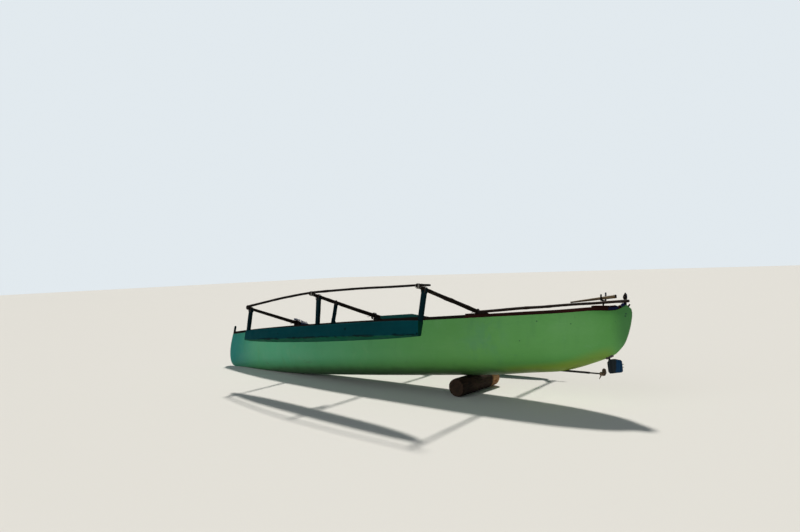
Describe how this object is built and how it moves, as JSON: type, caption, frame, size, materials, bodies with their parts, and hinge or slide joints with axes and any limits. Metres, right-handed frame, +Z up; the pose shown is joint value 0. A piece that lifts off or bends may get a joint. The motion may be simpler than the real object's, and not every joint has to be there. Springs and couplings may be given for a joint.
{
  "type": "double outrigger canoe",
  "caption": "Plank-built motorised outrigger canoe with a float on posts and booms each side, beached heeled over on a log roller, with its propeller and rudder.",
  "frame": {"origin": "centre of the underside of the bounding box, on the ground that the keel, one float and the log stand on", "axes": "+X towards the bow, +Y towards the raised port float, +Z up"},
  "size_m": [7.0594, 3.0388, 1.4325],
  "materials": {
    "hull_paint": "weathered green gloss paint on planks",
    "rail_paint": "worn dark red-brown paint",
    "float_paint": "worn dark teal paint",
    "post_paint": "worn dark teal-green paint",
    "dark_pole": "dark stained round poles",
    "bare_wood": "grey-brown bare boards",
    "hatch_paint": "faded teal paint",
    "blue_paint": "worn dark blue paint",
    "iron": "oily dark grey casting",
    "steel": "dull stained steel",
    "bronze": "dull brown bronze",
    "log_wood": "rough brown log, orange-brown at its sawn ends"
  },
  "bodies": {
    "root": {"bottom_bow": "hull_paint", "bottom_fore": "hull_paint", "bottom_mid": "hull_paint", "bottom_aft": "hull_paint", "bottom_stern": "hull_paint", "bow_block": "hull_paint", "stern_block": "hull_paint", "strake_port_fore": "hull_paint", "strake_port_mid": "hull_paint", "strake_port_aft": "hull_paint", "strake_starboard_fore": "hull_paint", "strake_starboard_mid": "hull_paint", "strake_starboard_aft": "hull_paint", "rail_port_fore": "rail_paint", "rail_port_mid": "rail_paint", "rail_port_aft": "rail_paint", "rail_starboard_fore": "rail_paint", "rail_starboard_mid": "rail_paint", "rail_starboard_aft": "rail_paint", "bow_post": "post_paint", "stern_head": "blue_paint", "stern_deck": "rail_paint", "boom_front": "dark_pole", "boom_mid": "dark_pole", "boom_rear": "dark_pole", "saddle_front": "dark_pole", "saddle_mid": "dark_pole", "rail_bar_port": "dark_pole", "rail_bar_starboard": "dark_pole", "beam_rear": "bare_wood", "seat_bow": "bare_wood", "seat_stern": "bare_wood", "floor_fore": "bare_wood", "floor_aft": "bare_wood", "engine_bed": "bare_wood", "engine_block": "iron", "engine_cover": "hatch_paint", "stern_tube": "bronze", "rudder_bearing": "iron", "pole_stowed_long": "dark_pole", "pole_stowed_short": "dark_pole", "crutch": "dark_pole", "float_port": "float_paint", "float_starboard": "float_paint", "post_front_port": "post_paint", "post_mid_port": "post_paint", "post_rear_port": "post_paint", "post_crook_port": "post_paint", "post_front_starboard": "post_paint", "post_mid_starboard": "post_paint", "post_rear_starboard": "post_paint", "post_crook_starboard": "post_paint", "tip_pole_port": "dark_pole", "tip_pole_starboard": "dark_pole", "log": "log_wood"},
    "propeller": {"propeller_shaft": "steel", "propeller": "bronze"},
    "rudder": {"rudder": "blue_paint", "tiller": "bare_wood"}
  },
  "joints": [
    {"name": "propeller_spin", "type": "hinge", "parent": "root", "child": "propeller", "pos_m": [-3.25912, 0.16279, 0.39817], "axis": [0.9998, -0.0193, -0.0002], "continuous": true},
    {"name": "rudder_turn", "type": "hinge", "parent": "root", "child": "rudder", "pos_m": [-3.32834, 0.15588, 0.42693], "axis": [0.0647, -0.276, 0.959], "range_deg": [-30, 30]}
  ]
}
